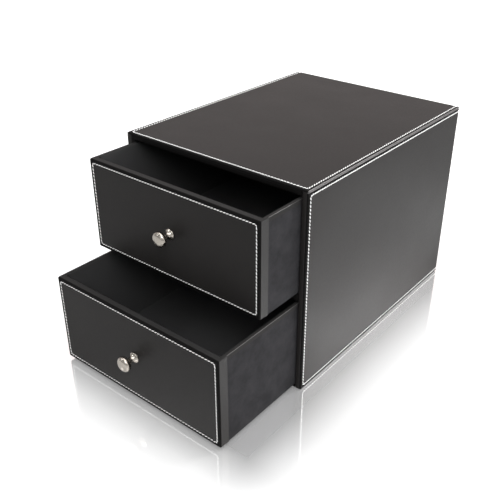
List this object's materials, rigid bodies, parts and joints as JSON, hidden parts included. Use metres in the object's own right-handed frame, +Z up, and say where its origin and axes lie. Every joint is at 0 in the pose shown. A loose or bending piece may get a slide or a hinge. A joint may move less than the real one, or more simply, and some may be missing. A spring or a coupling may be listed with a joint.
{
  "type": "desktop drawer organizer",
  "caption": "Free-standing desk cabinet in stitched dark leatherette over board, with stacked full-width drawers pulled by round metal knobs.",
  "frame": {"origin": "middle of the cabinet's base, on the surface it stands on", "axes": "+Z up, -Y out of the open front along the drawers' travel, +X to the right seen from the front"},
  "size_m": [0.245, 0.4576, 0.235],
  "materials": {
    "board": "fibreboard faced with black paper",
    "leatherette": "fine grain, satin, pale contrast stitching",
    "felt": "pressed felt",
    "flock": "short flock pile",
    "lining": "flocked paper",
    "knob_metal": "satin nickel",
    "fixing_steel": "zinc plated"
  },
  "bodies": {
    "cabinet": {"left_side_board": "board", "right_side_board": "board", "top_board": "board", "bottom_board": "board", "back_board": "board", "divider_shelf": "board", "top_cover": "leatherette", "left_side_cover": "leatherette", "right_side_cover": "leatherette", "back_cover": "leatherette", "left_edge_roll": "leatherette", "right_edge_roll": "leatherette", "top_edge_roll": "leatherette", "bottom_edge_roll": "leatherette", "shelf_edge_roll": "leatherette", "base_felt": "felt", "upper_bay_felt": "felt", "lower_bay_felt": "felt"},
    "upper_drawer": {"upper_drawer_front_board": "board", "upper_drawer_left_wall": "board", "upper_drawer_right_wall": "board", "upper_drawer_back_wall": "board", "upper_drawer_bottom_panel": "board", "upper_drawer_front_cover": "leatherette", "upper_drawer_front_wrap": "leatherette", "upper_drawer_rim_binding": "leatherette", "upper_drawer_side_fabric": "flock", "upper_drawer_wall_lining": "lining", "upper_drawer_floor_lining": "lining", "upper_drawer_knob": "knob_metal", "upper_drawer_knob_screw": "fixing_steel", "upper_drawer_knob_washer": "fixing_steel"},
    "lower_drawer": {"lower_drawer_front_board": "board", "lower_drawer_left_wall": "board", "lower_drawer_right_wall": "board", "lower_drawer_back_wall": "board", "lower_drawer_bottom_panel": "board", "lower_drawer_front_cover": "leatherette", "lower_drawer_front_wrap": "leatherette", "lower_drawer_rim_binding": "leatherette", "lower_drawer_side_fabric": "flock", "lower_drawer_wall_lining": "lining", "lower_drawer_floor_lining": "lining", "lower_drawer_knob": "knob_metal", "lower_drawer_knob_screw": "fixing_steel", "lower_drawer_knob_washer": "fixing_steel"}
  },
  "joints": [
    {"name": "upper_drawer_slide", "type": "slide", "parent": "cabinet", "child": "upper_drawer", "axis": [0, -1, 0], "range_m": [-0.06, 0.175]},
    {"name": "lower_drawer_slide", "type": "slide", "parent": "cabinet", "child": "lower_drawer", "axis": [0, -1, 0], "range_m": [-0.119, 0.116]}
  ]
}
